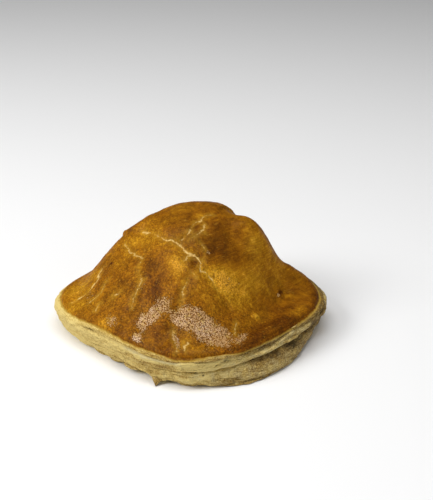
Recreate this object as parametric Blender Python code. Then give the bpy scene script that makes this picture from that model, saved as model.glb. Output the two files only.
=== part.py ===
"""Puff pastry cheese pie: two square sheets of puff pastry laid over each other round a filling,
pressed together along the rim and baked until the upper sheet stands up as one tall, lopsided dome.

The pie is one closed solid. Its cut sides are lofted round eight cross-sections, one for each
corner and each side of the square. Its top is a dome that meets the rim in a fillet and carries
the swellings and hollows of the baked crust.

Frame: +Z up, the flat underside at z = 0 and the plan box centred on the axis, with the sides of
the square facing -X, +X, -Y and +Y. The corner between +X and -Y is the one nearest the camera.
"""

import math
from typing import NamedTuple

import bmesh
import bpy
from mathutils import Vector

MILLIMETRE = 0.001

SEGMENTS = 112          # round the rim
TOP_RINGS = 25          # from the glazed edge to the peak
SHEET_RINGS = 4         # up the cut side of each sheet


class Section(NamedTuple):
    """One cross-section of the rim, in millimetres. A reach is measured from the pie's axis."""

    crust_reach: float   # the glazed crust's edge
    crust_height: float
    upper_bulge: float   # how far the upper sheet's cut side swells
    seam_reach: float    # the groove between the two sheets
    seam_height: float
    lower_bulge: float   # how far the lower sheet's cut side swells
    base_reach: float    # the edge of the flat underside


SQUARENESS = 3.2         # 2 is a round plan, and larger is squarer

RIM_SECTIONS = (         # one every 45 degrees, turning left from +X
    Section(59.0, 17.5, 1.5, 60.5, 9.5, 3.0, 63.5),    # +X side
    Section(56.5, 15.2, 3.0, 58.5, 9.5, 1.5, 48.0),    # +X +Y corner
    Section(52.0, 15.8, 1.0, 51.5, 9.0, 2.0, 48.0),    # +Y side
    Section(53.0, 17.0, 1.0, 53.0, 9.0, 2.0, 50.0),    # -X +Y corner
    Section(49.5, 15.0, 1.0, 49.5, 8.0, 2.0, 48.0),    # -X side
    Section(57.0, 14.5, 2.0, 59.0, 9.0, 2.5, 54.0),    # -X -Y corner
    Section(56.0, 15.0, 1.5, 55.0, 6.5, 1.5, 52.0),    # -Y side
    Section(55.0, 16.0, 2.0, 54.5, 8.5, 2.0, 53.0),    # +X -Y corner
)

RIM_HEIGHT = 16.0        # the rim's mean height, from which the dome rises
DOME_HEIGHT = 40.0       # above that, before the swellings
DOME_CENTRE = (-4.0, 2.0)
# One value every 45 degrees again: the dome's foot from its centre, how full it is, and the
# fillet where it meets the rim.
DOME_FOOT = (49.0, 47.0, 50.5, 46.0, 46.0, 57.5, 59.0, 63.0)
DOME_POWER = (1.5, 2.4, 2.7, 2.4, 2.0, 1.28, 1.35, 1.2)
FILLET = (12.0, 10.0, 6.0, 5.0, 6.0, 5.5, 9.0, 9.0)
DOME_TIP = 0.15          # share of the dome's foot over which its peak is rounded off
EDGE_ROLL = 2.0          # the crust rounds down by this much at its edge
EDGE_ROLL_WIDTH = 4.0


class Swelling(NamedTuple):
    """An oval rise of the crust, or a hollow where its height is negative, in millimetres."""

    x: float
    y: float
    half_length: float
    half_width: float
    turn: float          # of its length from +X, in degrees
    height: float
    softness: float      # share of the oval's radius over which it rises


SWELLINGS = (
    Swelling(-9.0, 7.0, 27.0, 26.0, -45.0, 1.4, 0.3),    # back lobe, which ends in a step
    Swelling(-28.0, -18.0, 22.0, 16.0, 50.0, 4.2, 1.0),  # left lobe
    Swelling(22.8, 32.8, 25.0, 16.2, 55.0, 10.6, 0.8),   # right lobe
    Swelling(24.0, -22.0, 14.0, 10.0, -45.0, 1.2, 1.0),  # fullness of the front slope
    Swelling(50.0, -3.0, 18.0, 5.0, 90.0, -0.8, 1.0),    # furrow inside the +X edge
)

CRUST_COLOUR = (0.40, 0.17, 0.025, 1.0)
CRUST_ROUGHNESS = 0.38
SHARP_ANGLE = 50.0


def round_the_rim(values, direction):
    """Smooth closed curve through values given at equal steps round the pie."""
    count = len(values)
    step = (direction / math.tau * count) % count
    index = int(step)
    part = step - index
    before, start, end, after = (values[(index + k) % count] for k in (-1, 0, 1, 2))
    linear = end - before
    square = 2 * before - 5 * start + 4 * end - after
    cube = after - before + 3 * (start - end)
    return start + 0.5 * part * (linear + part * (square + part * cube))


def smooth_max(first, second, fillet):
    """The larger of two heights, with a fillet where they meet."""
    share = max(0.0, fillet - abs(first - second)) / fillet
    return max(first, second) + share * share * fillet / 4


def round_tip(out):
    """The distance from the dome's centre, as a share of its foot, drawn in so the peak is round."""
    return (math.hypot(out, DOME_TIP) - DOME_TIP) / (math.hypot(1.0, DOME_TIP) - DOME_TIP)


def square_outline(direction):
    """The reach of a rounded square whose sides lie 1 from its axis."""
    sides = abs(math.cos(direction)) ** SQUARENESS + abs(math.sin(direction)) ** SQUARENESS
    return sides ** (-1 / SQUARENESS)


def section_at(direction):
    """The rim's cross-section in any direction, with its reaches drawn out towards the corners."""
    section = Section(*(round_the_rim(values, direction) for values in zip(*RIM_SECTIONS)))
    square = square_outline(direction)
    return section._replace(
        crust_reach=section.crust_reach * square,
        seam_reach=section.seam_reach * square,
        base_reach=section.base_reach * square,
    )


def swelling_height(swelling, x, y):
    """What one swelling adds to the crust's height at a point of the plan."""
    turn = math.radians(swelling.turn)
    along = (x - swelling.x) * math.cos(turn) + (y - swelling.y) * math.sin(turn)
    across = (y - swelling.y) * math.cos(turn) - (x - swelling.x) * math.sin(turn)
    radius = math.hypot(along / swelling.half_length, across / swelling.half_width)
    share = min(1.0, max(0.0, (1 - radius) / swelling.softness))
    return swelling.height * share * share * (3 - 2 * share)


def top_point(direction, share):
    """The point of the crust's upper face at this share of the way from the axis to the edge."""
    section = section_at(direction)
    reach = section.crust_reach * share
    x = reach * math.cos(direction)
    y = reach * math.sin(direction)
    away_x = x - DOME_CENTRE[0]
    away_y = y - DOME_CENTRE[1]
    bearing = math.atan2(away_y, away_x)
    out = round_tip(math.hypot(away_x, away_y) / round_the_rim(DOME_FOOT, bearing))
    from_edge = section.crust_reach - reach
    rolled = max(0.0, 1 - from_edge / EDGE_ROLL_WIDTH)
    rim = RIM_HEIGHT + (section.crust_height - RIM_HEIGHT) * share * share
    brim = rim + EDGE_ROLL * (1 - rolled * rolled)
    dome = rim + DOME_HEIGHT * (1 - out ** round_the_rim(DOME_POWER, bearing))
    height = smooth_max(brim, dome, round_the_rim(FILLET, bearing))
    height += sum(swelling_height(swelling, x, y) for swelling in SWELLINGS)
    return Vector((x, y, height))


def side_points(section):
    """(reach, height) up the cut sides, from the underside's edge to just below the crust's edge."""
    points = []
    for start, end, bulge in (
        ((section.base_reach, 0.0), (section.seam_reach, section.seam_height), section.lower_bulge),
        ((section.seam_reach, section.seam_height), (section.crust_reach, section.crust_height),
         section.upper_bulge),
    ):
        for ring in range(SHEET_RINGS):
            angle = math.pi * (ring / SHEET_RINGS - 0.5)
            share = (1 + math.sin(angle)) / 2
            reach = start[0] + (end[0] - start[0]) * share + bulge * math.cos(angle)
            points.append((reach, start[1] + (end[1] - start[1]) * share))
    return points


def place(direction, reach, height):
    """The point at this direction, distance from the axis, and height."""
    return Vector((reach * math.cos(direction), reach * math.sin(direction), height))


def pie_rings():
    """The rings of the skin, from the underside's edge up to the innermost one at the peak."""
    directions = [math.tau * segment / SEGMENTS for segment in range(SEGMENTS)]
    sides = [side_points(section_at(direction)) for direction in directions]
    rings = []
    for level in range(2 * SHEET_RINGS):
        rings.append([place(direction, *side[level]) for direction, side in zip(directions, sides)])
    for ring in range(TOP_RINGS):
        share = 1 - ring / TOP_RINGS
        rings.append([top_point(direction, share) for direction in directions])
    return rings


def add_ring(bm, points):
    """A closed loop of edges through the points, shaped from a circle."""
    circle = bmesh.ops.create_circle(bm, segments=len(points), radius=1.0)["verts"]
    for vertex, point in zip(circle, points):
        vertex.co = point * MILLIMETRE
    return list({edge for vertex in circle for edge in vertex.link_edges})


def build_pie():
    """The pie's mesh: rings bridged from the underside to the peak and closed at both ends."""
    bm = bmesh.new()
    loops = [add_ring(bm, points) for points in pie_rings()]
    for lower, upper in zip(loops, loops[1:]):
        bmesh.ops.bridge_loops(bm, edges=lower + upper)
    for end in (loops[0], loops[-1]):
        cap = bmesh.ops.edgeloop_fill(bm, edges=end)["faces"]
        bmesh.ops.poke(bm, faces=cap)
    bmesh.ops.recalc_face_normals(bm, faces=bm.faces)
    centre_on_axis(bm)
    mesh = bpy.data.meshes.new("pie")
    bm.to_mesh(mesh)
    bm.free()
    mesh.shade_smooth()
    mesh.set_sharp_from_angle(angle=math.radians(SHARP_ANGLE))
    return mesh


def centre_on_axis(bm):
    """Move the mesh so that the middle of its plan box lies on the vertical axis."""
    middle = Vector((0.0, 0.0, 0.0))
    for axis in (0, 1):
        places = [vertex.co[axis] for vertex in bm.verts]
        middle[axis] = (min(places) + max(places)) / 2
    bmesh.ops.translate(bm, verts=bm.verts, vec=-middle)


def crust_material():
    """The glazed, baked pastry that covers the pie."""
    material = bpy.data.materials.new("baked pastry")
    material.use_nodes = True
    shader = material.node_tree.nodes["Principled BSDF"]
    shader.inputs["Base Color"].default_value = CRUST_COLOUR
    shader.inputs["Roughness"].default_value = CRUST_ROUGHNESS
    shader.inputs["Metallic"].default_value = 0.0
    return material


def main():
    for leftover in list(bpy.data.objects):
        bpy.data.objects.remove(leftover)
    mesh = build_pie()
    mesh.materials.append(crust_material())
    pie = bpy.data.objects.new("pie", mesh)
    bpy.context.scene.collection.objects.link(pie)


main()
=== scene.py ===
"""Looks of a puff pastry cheese pie: its glazed crust, its flaky cut sides and a studio to see it in.

The pie is seen corner-on.
"""

import logging
import math
from collections.abc import Iterable
from dataclasses import dataclass
from dataclasses import field
from enum import Enum

import bpy
import numpy as np
from mathutils import Euler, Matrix
from mathutils import Vector


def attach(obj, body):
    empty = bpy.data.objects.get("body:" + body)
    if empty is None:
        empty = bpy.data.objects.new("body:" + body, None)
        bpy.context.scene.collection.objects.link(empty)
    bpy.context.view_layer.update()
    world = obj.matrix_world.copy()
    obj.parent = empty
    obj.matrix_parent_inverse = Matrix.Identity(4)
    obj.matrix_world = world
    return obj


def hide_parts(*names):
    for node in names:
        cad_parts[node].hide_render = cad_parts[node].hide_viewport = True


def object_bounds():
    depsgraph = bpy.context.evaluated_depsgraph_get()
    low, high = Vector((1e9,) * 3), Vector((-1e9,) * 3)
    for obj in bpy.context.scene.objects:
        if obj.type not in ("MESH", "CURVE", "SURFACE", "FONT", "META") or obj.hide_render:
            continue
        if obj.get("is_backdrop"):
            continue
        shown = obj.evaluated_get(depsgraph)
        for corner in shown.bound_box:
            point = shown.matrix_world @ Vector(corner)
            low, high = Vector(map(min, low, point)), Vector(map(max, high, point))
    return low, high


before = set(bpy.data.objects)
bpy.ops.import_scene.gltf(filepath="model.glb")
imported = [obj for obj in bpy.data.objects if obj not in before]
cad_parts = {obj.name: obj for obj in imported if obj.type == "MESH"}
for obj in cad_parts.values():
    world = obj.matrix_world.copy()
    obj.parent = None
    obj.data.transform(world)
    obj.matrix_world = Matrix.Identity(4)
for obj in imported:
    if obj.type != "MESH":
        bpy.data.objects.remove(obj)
CAD_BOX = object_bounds()

LOG = logging.getLogger("cheese_pie")
NODE = "pie"
BODY = "root"
MILLIMETRE = 0.001
WHITE = (1.0, 1.0, 1.0, 1.0)
LEVEL = (1.0, 1.0, 0.0)
UPRIGHT = (0.0, 0.0, 1.0)

# The noise of the meshes: a whole-number hash, read on a turned lattice.
LATTICE_PRIMES = (73856093, 19349663, 83492791)
SEED_PRIME = 2654435761
LATTICE_MIXERS = ((15, 2246822519), (13, 3266489917))
LAST_SHIFT = 16
WORD = 0xFFFFFFFF
HALF_WORD = 0xFFFF
LATTICE_TURN = (0.7, 0.5, 0.3)
LATTICE_SHIFT = 100.0
OCTAVES_SPAN = 1.5

# Short names for types.
Array = np.ndarray
Row = tuple[float, ...]
Span = tuple[float, float]
Colour = tuple[float, float, float]
Piece = bpy.types.Object
Tree = bpy.types.NodeTree
Node = bpy.types.Node
Socket = bpy.types.NodeSocket
Feed = Socket | float | Colour


# ---- Numbers that vary over the pie ----


def round_the_pie(values: Row, direction: Array) -> Array:
    """Smooth closed curve through values given at equal steps round the pie.

    Args:
        values: one value per step, turning left from +X.
        direction: angles in radians.

    Returns:
        The curve's value in each direction.
    """
    table = np.asarray(values, dtype=float)
    place = np.mod(direction, math.tau) / math.tau * len(table)
    index = np.floor(place).astype(int)
    part = place - index
    before, start, end, after = (table[(index + step) % len(table)] for step in (-1, 0, 1, 2))
    square = 2 * before - 5 * start + 4 * end - after
    cube = after - before + 3 * (start - end)
    return start + 0.5 * part * (end - before + part * (square + part * cube))


def smooth_max(first: Array, second: Array, fillet: Array) -> Array:
    """The larger of two heights, with a fillet where they meet."""
    share = np.maximum(0.0, fillet - np.abs(first - second)) / fillet
    return np.maximum(first, second) + share * share * fillet / 4


def ease(value: Array) -> Array:
    """Smooth step from 0 to 1 as the value goes from 0 to 1."""
    share = np.clip(value, 0.0, 1.0)
    return share * share * (3 - 2 * share)


def around(direction: Array, reach: Array, height: Array) -> Array:
    """Places in space, from directions round the pie, distances from its axis and heights."""
    return np.stack([reach * np.cos(direction), reach * np.sin(direction), height], axis=-1)


def arc_from(middle: float, direction: Array, reach: Array) -> Array:
    """Distance along the cut side from a direction given in degrees."""
    turned = np.mod(direction - math.radians(middle) + math.pi, math.tau) - math.pi
    return turned * reach


def lattice_value(cells: Array, seed: int) -> Array:
    """A repeatable number from -1 to 1 for each whole-numbered cell of space."""
    first, second, third = LATTICE_PRIMES
    mixed = cells[..., 0] * first ^ cells[..., 1] * second ^ cells[..., 2] * third
    mixed = (mixed ^ (seed * SEED_PRIME)) & WORD
    for shift, multiplier in LATTICE_MIXERS:
        mixed = ((mixed ^ (mixed >> shift)) * multiplier) & WORD
    return ((mixed ^ (mixed >> LAST_SHIFT)) & HALF_WORD) / (HALF_WORD / 2) - 1.0


def noise(points: Array, cell: float, seed: int) -> Array:
    """Smooth repeatable noise from -1 to 1.

    Args:
        points: places in millimetres, one row of three each.
        cell: size of its features in millimetres.
        seed: which pattern.

    Returns:
        One value per point.
    """
    pitch, roll, yaw = LATTICE_TURN
    turned = points @ np.array(Euler((pitch, roll, yaw + seed)).to_matrix()) / cell + LATTICE_SHIFT
    low = np.floor(turned).astype(np.int64)
    part = turned - low
    weight = part * part * part * (part * (part * 6 - 15) + 10)
    total = np.zeros(len(points))
    for corner in np.ndindex(2, 2, 2):
        share = np.prod(np.where(np.array(corner) == 1, weight, 1 - weight), axis=-1)
        total += share * lattice_value(low + np.array(corner), seed)
    return total


def layered_noise(points: Array, cell: float, seed: int, octaves: int = 3) -> Array:
    """Noise with ever finer noise added, each octave half as large and half as strong."""
    total = np.zeros(len(points))
    for octave in range(octaves):
        total += noise(points, cell / 2**octave, seed + octave) / 2**octave
    return total / OCTAVES_SPAN


# ---- The pie's form ----


@dataclass(frozen=True)
class Section:
    """One cross-section of the rim. A reach is measured from the pie's axis."""

    crust_reach: float
    crust_height: float
    upper_bulge: float
    seam_reach: float
    seam_height: float
    lower_bulge: float
    base_reach: float


@dataclass(frozen=True)
class Oval:
    """An oval patch of the plan where a height, a browning or a gloss grows by an amount."""

    x: float
    y: float
    half_length: float
    half_width: float
    turn: float
    amount: float
    softness: float = 1.0

    def at(self, x: Array, y: Array) -> Array:
        """What the oval adds at points of the plan."""
        turn = math.radians(self.turn)
        along = (x - self.x) * math.cos(turn) + (y - self.y) * math.sin(turn)
        across = (y - self.y) * math.cos(turn) - (x - self.x) * math.sin(turn)
        radius = np.hypot(along / self.half_length, across / self.half_width)
        return self.amount * ease((1 - radius) / self.softness)


@dataclass(frozen=True)
class Line:
    """A line drawn on the crust by a few points of its plan."""

    points: tuple[tuple[float, float], ...]
    width: float
    depth: float

    def distance(self, x: Array, y: Array) -> Array:
        """Distance in plan from the line.

        Args:
            x: places in the plan.
            y: places in the plan.

        Returns:
            The distance of each place from the nearest stretch of the line.
        """
        nearest = np.full(x.shape, np.inf)
        for start, end in zip(self.points, self.points[1:]):
            step = np.array(end) - np.array(start)
            share = ((x - start[0]) * step[0] + (y - start[1]) * step[1]) / (step @ step)
            share = np.clip(share, 0.0, 1.0)
            away = np.hypot(x - start[0] - share * step[0], y - start[1] - share * step[1])
            nearest = np.minimum(nearest, away)
        return nearest

    def groove(self, away: Array, least_width: float = 0.0) -> Array:
        """How deep the line cuts into the crust, at distances from it."""
        return self.depth * np.exp(-((away / max(self.width, least_width)) ** 2))


@dataclass(frozen=True)
class Ledge:
    """A torn edge of the crust that stands proud on its left side and dies away behind."""

    start: tuple[float, float]
    end: tuple[float, float]
    height: float
    reach: float
    sharpness: float
    fade: float = 0.25

    def at(self, x: Array, y: Array) -> Array:
        """What the ledge adds at points of the plan."""
        step = np.array(self.end) - np.array(self.start)
        length = math.hypot(*step)
        along = ((x - self.start[0]) * step[0] + (y - self.start[1]) * step[1]) / length**2
        aside = ((y - self.start[1]) * step[0] - (x - self.start[0]) * step[1]) / length
        window = ease(along / self.fade) * ease((1 - along) / self.fade)
        behind = np.exp(-np.maximum(aside, 0.0) / self.reach)
        return self.height * window * ease(aside / self.sharpness) * behind


def together(shapes: tuple[Oval | Ledge, ...], x: Array, y: Array) -> Array:
    """What several ovals or ledges add up to at points of the plan."""
    return sum(shape.at(x, y) for shape in shapes)


@dataclass(frozen=True)
class PieForm:
    """The pie's form in millimetres, round its own axis. The CAD solid follows the same rules."""

    squareness: float = 3.2
    sections: tuple[Section, ...] = (
        Section(59, 17.5, 1.5, 60.5, 9.5, 3, 63.5),
        Section(56.5, 15.2, 3, 58.5, 9.5, 1.5, 48),
        Section(52, 15.8, 1, 51.5, 9, 2, 48),
        Section(53, 17, 1, 53, 9, 2, 50),
        Section(49.5, 15, 1, 49.5, 8, 2, 48),
        Section(57, 14.5, 2, 59, 9, 2.5, 54),
        Section(56, 15, 1.5, 55, 6.5, 1.5, 52),
        Section(55, 16, 2, 54.5, 8.5, 2, 53),
    )
    rim_height: float = 16.0
    dome_height: float = 40.0
    dome_centre: tuple[float, float] = (-4.0, 2.0)
    dome_foot: Row = (49.0, 47.0, 50.5, 46.0, 46.0, 57.5, 59.0, 63.0)
    dome_power: Row = (1.5, 2.4, 2.7, 2.4, 2.0, 1.28, 1.35, 1.2)
    dome_tip: float = 0.15
    fillet: Row = (12.0, 10.0, 6.0, 5.0, 6.0, 5.5, 9.0, 9.0)
    edge_roll: float = 2.0
    edge_roll_width: float = 4.0
    axis_in_frame: tuple[float, float] = (-5.28, 1.32)
    swellings: tuple[Oval, ...] = (
        Oval(-9, 7, 27, 26, -45, 1.4, 0.3),
        Oval(-28, -18, 22, 16, 50, 4.2),
        Oval(22.8, 32.8, 25, 16.2, 55, 10.6, 0.8),
        Oval(24, -22, 14, 10, -45, 1.2),
        Oval(50, -3, 18, 5, 90, -0.8),
    )

    def outline(self, direction: Array) -> Array:
        """The reach of a rounded square whose sides lie 1 from its axis."""
        sides = np.abs(np.cos(direction)) ** self.squareness
        sides = sides + np.abs(np.sin(direction)) ** self.squareness
        return sides ** (-1 / self.squareness)

    def measure(self, name: str, direction: Array) -> Array:
        """One size of the rim's cross-section in any direction; reaches follow the square."""
        values = tuple(getattr(section, name) for section in self.sections)
        size = round_the_pie(values, direction)
        return size * self.outline(direction) if name.endswith("_reach") else size

    def top(self, x: Array, y: Array) -> Array:
        """Height of the crust's upper face, before its edge rolls over.

        Args:
            x: places in the plan.
            y: places in the plan.

        Returns:
            The height at each place.
        """
        direction = np.arctan2(y, x)
        share = np.hypot(x, y) / self.measure("crust_reach", direction)
        away_x = x - self.dome_centre[0]
        away_y = y - self.dome_centre[1]
        bearing = np.arctan2(away_y, away_x)
        out = self.round_tip(np.hypot(away_x, away_y) / round_the_pie(self.dome_foot, bearing))
        rim = self.rim_height + (self.measure("crust_height", direction) - self.rim_height) * share**2
        dome = rim + self.dome_height * (1 - out ** round_the_pie(self.dome_power, bearing))
        height = smooth_max(rim + self.edge_roll, dome, round_the_pie(self.fillet, bearing))
        return height + together(self.swellings, x, y)

    def round_tip(self, out: Array) -> Array:
        """Blunt the dome's tip, from shares of the way out to its foot."""
        tip = self.dome_tip
        return (np.hypot(out, tip) - tip) / (math.hypot(1, tip) - tip)

    def wall(self, direction: Array, share: Array, upper: bool) -> tuple[Array, ...]:
        """The cut side of the upper or the lower sheet.

        Args:
            direction: angles round the pie.
            share: 0 at the sheet's foot and 1 at its top edge.
            upper: which sheet.

        Returns:
            The reach and the height.
        """
        foot, head, bulge = ("seam", "crust", "upper_bulge") if upper else ("base", "seam", "lower_bulge")
        low = self.measure(foot + "_reach", direction)
        high = self.measure(head + "_reach", direction)
        bottom = self.measure("seam_height", direction) if upper else 0.0
        top = self.measure(head + "_height", direction)
        swing = np.sqrt(np.clip(1 - (2 * share - 1) ** 2, 0.0, 1.0))
        reach = low + (high - low) * share + self.measure(bulge, direction) * swing
        return reach, bottom + (top - bottom) * share

    def side(self, direction: Array, height: float) -> Array:
        """The reach of the cut side at one height, whichever sheet is there."""
        seam = self.measure("seam_height", direction)
        head = self.measure("crust_height", direction)
        lower, _ = self.wall(direction, np.clip(height / seam, 0.0, 1.0), False)
        upper, _ = self.wall(direction, np.clip((height - seam) / (head - seam), 0.0, 1.0), True)
        return np.where(height < seam, lower, upper)

    def foot(self) -> Vector:
        """Where the pie's axis meets the floor, in the frame's metres."""
        middle = (CAD_BOX[0] + CAD_BOX[1]) / 2
        x, y = (value * MILLIMETRE for value in self.axis_in_frame)
        return Vector((middle.x + x, middle.y + y, CAD_BOX[0].z))


# ---- Meshes ----


class Sculpt:
    """Reads and moves a mesh's points, and writes numbers on them, all at once."""

    WELD_DISTANCE = 0.001
    # An open edge closes in two rings and a point. The first ring keeps the edge crisp.
    CLOSING_SCALES = (0.98, 0.5)

    @staticmethod
    def grid(name: str, columns: int, rows: int) -> Piece:
        """A fresh grid of quads that the sub-assemblies shape.

        Args:
            name: the piece's name.
            columns: number of points along X.
            rows: number of points along Y.

        Returns:
            The new object, 2 units square round the origin.
        """
        bpy.ops.object.select_all(action="DESELECT")
        bpy.ops.mesh.primitive_grid_add(x_subdivisions=columns - 1, y_subdivisions=rows - 1, size=2.0)
        piece = bpy.context.object
        piece.name = name
        piece.data.name = name
        return piece

    @staticmethod
    def points(piece: Piece) -> Array:
        """The piece's points, one row each."""
        flat = np.empty(len(piece.data.vertices) * 3)
        piece.data.vertices.foreach_get("co", flat)
        return flat.reshape(-1, 3)

    @staticmethod
    def move(piece: Piece, points: Array) -> None:
        """Put the piece's points at these places."""
        piece.data.vertices.foreach_set("co", points.ravel())
        piece.data.update()

    @staticmethod
    def normals(piece: Piece) -> Array:
        """The piece's surface direction at each point."""
        flat = np.empty(len(piece.data.vertices) * 3)
        piece.data.vertex_normals.foreach_get("vector", flat)
        return flat.reshape(-1, 3)

    @staticmethod
    def write(piece: Piece, **numbers: Array | float) -> None:
        """Keep numbers on the piece's points, as attributes that materials read."""
        for name, values in numbers.items():
            row = np.full(len(piece.data.vertices), values, dtype=np.float32)
            piece.data.attributes.new(name, "FLOAT", "POINT").data.foreach_set("value", row)

    @staticmethod
    def edit(piece: Piece) -> None:
        """Open the piece alone in edit mode."""
        bpy.ops.object.select_all(action="DESELECT")
        piece.select_set(True)
        bpy.context.view_layer.objects.active = piece
        bpy.ops.object.mode_set(mode="EDIT")

    @staticmethod
    def sew(piece: Piece) -> None:
        """Join the points that lie on one another."""
        Sculpt.edit(piece)
        bpy.ops.mesh.select_all(action="SELECT")
        bpy.ops.mesh.remove_doubles(threshold=Sculpt.WELD_DISTANCE)
        bpy.ops.mesh.normals_make_consistent(inside=False)
        bpy.ops.object.mode_set(mode="OBJECT")

    @staticmethod
    def close_edges(piece: Piece) -> None:
        """Carry each open edge round the axis inwards, level, and gather it at the axis."""
        Sculpt.edit(piece)
        bpy.ops.mesh.select_mode(type="EDGE")
        bpy.ops.mesh.select_all(action="DESELECT")
        bpy.ops.mesh.select_non_manifold()
        for scale in Sculpt.CLOSING_SCALES:
            bpy.ops.mesh.extrude_edges_move()
            bpy.ops.transform.resize(value=(scale, scale, 1.0), center_override=(0.0, 0.0, 0.0))
        bpy.ops.mesh.merge(type="COLLAPSE")
        bpy.ops.mesh.select_all(action="SELECT")
        bpy.ops.mesh.normals_make_consistent(inside=False)
        bpy.ops.object.mode_set(mode="OBJECT")

    @staticmethod
    def finish(piece: Piece, material: bpy.types.Material, form: PieForm) -> None:
        """Smooth shading, a material, and the piece's place and metres in the frame.

        Args:
            piece: a mesh in millimetres round the pie's axis.
            material: its finish.
            form: the pie's form, which knows where the axis is.
        """
        Sculpt.move(piece, Sculpt.points(piece) * MILLIMETRE + np.array(form.foot()))
        piece.data.shade_smooth()
        piece.data.materials.clear()
        piece.data.materials.append(material)
        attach(piece, BODY)
        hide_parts(NODE)
        LOG.info("%s: %d faces", piece.name, len(piece.data.polygons))


# ---- Finishes ----


class Nodes:
    """Adds nodes to one shader tree and joins them."""

    def __init__(self, tree: Tree) -> None:
        """Start on a tree."""
        self.tree = tree

    def add(self, kind: str, feeds: dict[str | int, Feed] | None = None, **settings: object) -> Node:
        """One node.

        Args:
            kind: Blender's name for the node's type.
            feeds: for each input by name or number, a socket to join or a plain value.
            settings: the node's own properties.

        Returns:
            The new node.
        """
        node = self.tree.nodes.new(kind)
        for name, value in settings.items():
            setattr(node, name, value)
        for name, feed in (feeds or {}).items():
            self.feed(node.inputs[name], feed)
        return node

    def feed(self, socket: Socket, feed: Feed) -> None:
        """Join a socket to an input, or set the input's plain value."""
        if isinstance(feed, Socket):
            self.tree.links.new(feed, socket)
        elif isinstance(feed, tuple) and socket.type == "RGBA":
            socket.default_value = (*feed, 1.0)
        else:
            socket.default_value = feed

    def maths(self, operation: str, first: Feed, second: Feed, third: Feed = 0.0) -> Socket:
        """The result of one sum."""
        return self.add("ShaderNodeMath", {0: first, 1: second, 2: third}, operation=operation).outputs[0]

    def times(self, first: Feed, second: Feed) -> Socket:
        """The product of two numbers."""
        return self.maths("MULTIPLY", first, second)

    def scaled(self, vector: Feed, factor: Feed) -> Socket:
        """A place or a colour, multiplied by a number."""
        node = self.add("ShaderNodeVectorMath", {0: vector, "Scale": factor}, operation="SCALE")
        return node.outputs["Vector"]

    def blend(self, share: Feed, first: Feed, second: Feed) -> Socket:
        """A number between two others."""
        return self.add("ShaderNodeMix", {0: share, 2: first, 3: second}, data_type="FLOAT").outputs[0]

    def plus(self, total: Feed, value: Feed, share: float) -> Socket:
        """A total with a share of a noise added, counted from the noise's middle."""
        centred = self.maths("SUBTRACT", value, 0.5)
        return self.maths("MULTIPLY_ADD", centred, share, total)

    def pile(self, total: Feed, layers: Iterable[tuple[Feed, float]]) -> Socket:
        """A total with shares of several noises added."""
        for value, share in layers:
            total = self.plus(total, value, share)
        return total

    def between(self, value: Feed, low: float, high: float) -> Socket:
        """0 below low, 1 above high, easing between; low may be the larger."""
        feeds = {"Value": value, "From Min": low, "From Max": high}
        node = self.add("ShaderNodeMapRange", feeds, interpolation_type="SMOOTHSTEP")
        return node.outputs["Result"]

    def number(self, name: str) -> Socket:
        """A number kept on the piece's points."""
        return self.add("ShaderNodeAttribute", attribute_name=name).outputs["Fac"]

    def place(self) -> Socket:
        """The place on the object."""
        return self.add("ShaderNodeTexCoord").outputs["Object"]

    def stretched(self, scale: Colour) -> Socket:
        """The place on the object, with each axis scaled."""
        return self.add("ShaderNodeMapping", {"Vector": self.place(), "Scale": scale}).outputs["Vector"]

    def noise(self, cell: float, detail: float = 2.0, place: Feed | None = None) -> Socket:
        """Noise from 0 to 1.

        Args:
            cell: size of its features in millimetres.
            detail: how many finer layers it has.
            place: where it is read, or the object's own place.

        Returns:
            The noise's value.
        """
        feeds = {"Vector": place or self.place(), "Scale": 1.0 / (cell * MILLIMETRE), "Detail": detail}
        return self.add("ShaderNodeTexNoise", feeds).outputs["Fac"]

    def mix(self, share: Feed, first: Feed, second: Feed) -> Socket:
        """A blend of two colours."""
        node = self.add("ShaderNodeMix", {0: share, 6: first, 7: second}, data_type="RGBA")
        return node.outputs[2]

    def ramp(self, value: Feed, places_and_colours: Iterable[tuple[float, Colour]]) -> Socket:
        """A colour picked along a row of colours."""
        node = self.add("ShaderNodeValToRGB", {"Fac": value})
        row = node.color_ramp.elements
        stops = tuple(places_and_colours)
        while len(row) < len(stops):
            row.new(1.0)
        for element, (place, colour) in zip(row, stops):
            element.position = place
            element.color = (*colour, 1.0)
        return node.outputs["Color"]


class Group(Enum):
    """The node groups that several finishes share."""

    MOTTLE = "pastry mottle"
    GRAIN = "baked skin grain"
    LAYERS = "dry pastry layers"


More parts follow.
